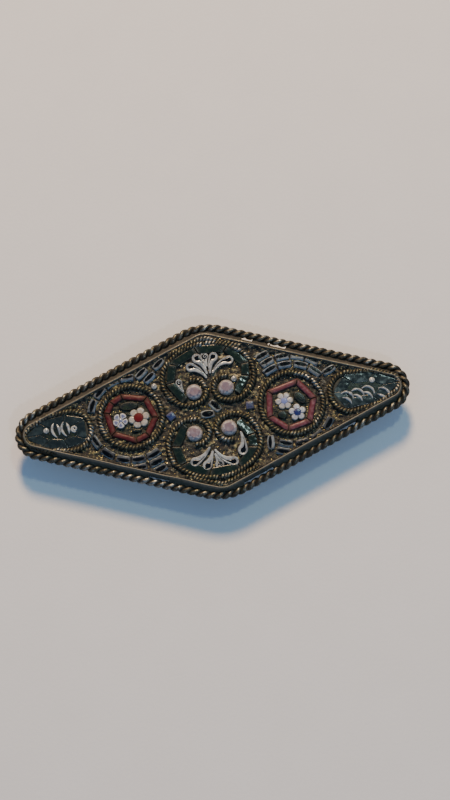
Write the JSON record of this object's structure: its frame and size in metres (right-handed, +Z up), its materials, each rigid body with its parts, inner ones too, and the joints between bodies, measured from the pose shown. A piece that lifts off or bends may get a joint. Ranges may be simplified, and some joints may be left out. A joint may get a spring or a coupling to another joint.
{
  "type": "micromosaic brooch",
  "caption": "Long rhombic brooch: a brass tray with a twisted rope border and wire cells filled with glass rods, tesserae, flowers and cut stones, on a plain pin fitting.",
  "frame": {"origin": "on the surface that the brooch lies on, under the middle of its outline", "axes": "+X along the brooch towards its right-hand tip, +Y across it towards the top of the picture, +Z up out of its face"},
  "size_m": [0.0602, 0.0272, 0.0052],
  "materials": {
    "old_brass": "darkened with age, bright on the high spots",
    "pin_brass": "worn satin",
    "cement": "rough and grainy",
    "pink_glass": "cut and polished, opaque",
    "green_glass": "opaque, polished",
    "white_glass": "opaque, satin",
    "black_glass": "opaque, polished",
    "red_glass": "opaque, satin",
    "pale_blue_glass": "opaque, satin",
    "lavender_glass": "opaque, satin",
    "bright_red_glass": "opaque, satin",
    "dark_blue_glass": "opaque, satin",
    "teal_glass": "opaque, polished",
    "field_glass": "opaque, satin, with a black core",
    "cobalt_glass": "opaque, polished"
  },
  "bodies": {
    "root": {"setting": "old_brass", "pin_fitting": "pin_brass", "field_bed": "cement", "cell_beds": "cement", "pink_stone_upper_left": "pink_glass", "pink_stone_upper_right": "pink_glass", "pink_stone_lower_left": "pink_glass", "pink_stone_lower_right": "pink_glass", "green_rods_upper": "green_glass", "green_rods_lower": "green_glass", "palmette_upper": "white_glass", "palmette_lower": "white_glass", "leaf_eyes": "black_glass", "red_rods_left": "red_glass", "red_rods_right": "red_glass", "white_flower_left": "white_glass", "blue_flower_left": "pale_blue_glass", "lavender_flower_right": "lavender_glass", "white_flower_right": "white_glass", "red_flower_disc": "bright_red_glass", "blue_flower_core": "dark_blue_glass", "green_chips": "green_glass", "end_slabs_left": "teal_glass", "end_slabs_right": "teal_glass", "end_curls_left": "white_glass", "end_curls_right": "white_glass", "end_dots": "white_glass", "field_upper_left": "field_glass", "field_upper_right": "field_glass", "field_lower_left": "field_glass", "field_lower_right": "field_glass", "centre_tesserae": "field_glass", "blue_chips": "cobalt_glass", "white_beads": "white_glass"}
  },
  "joints": []
}
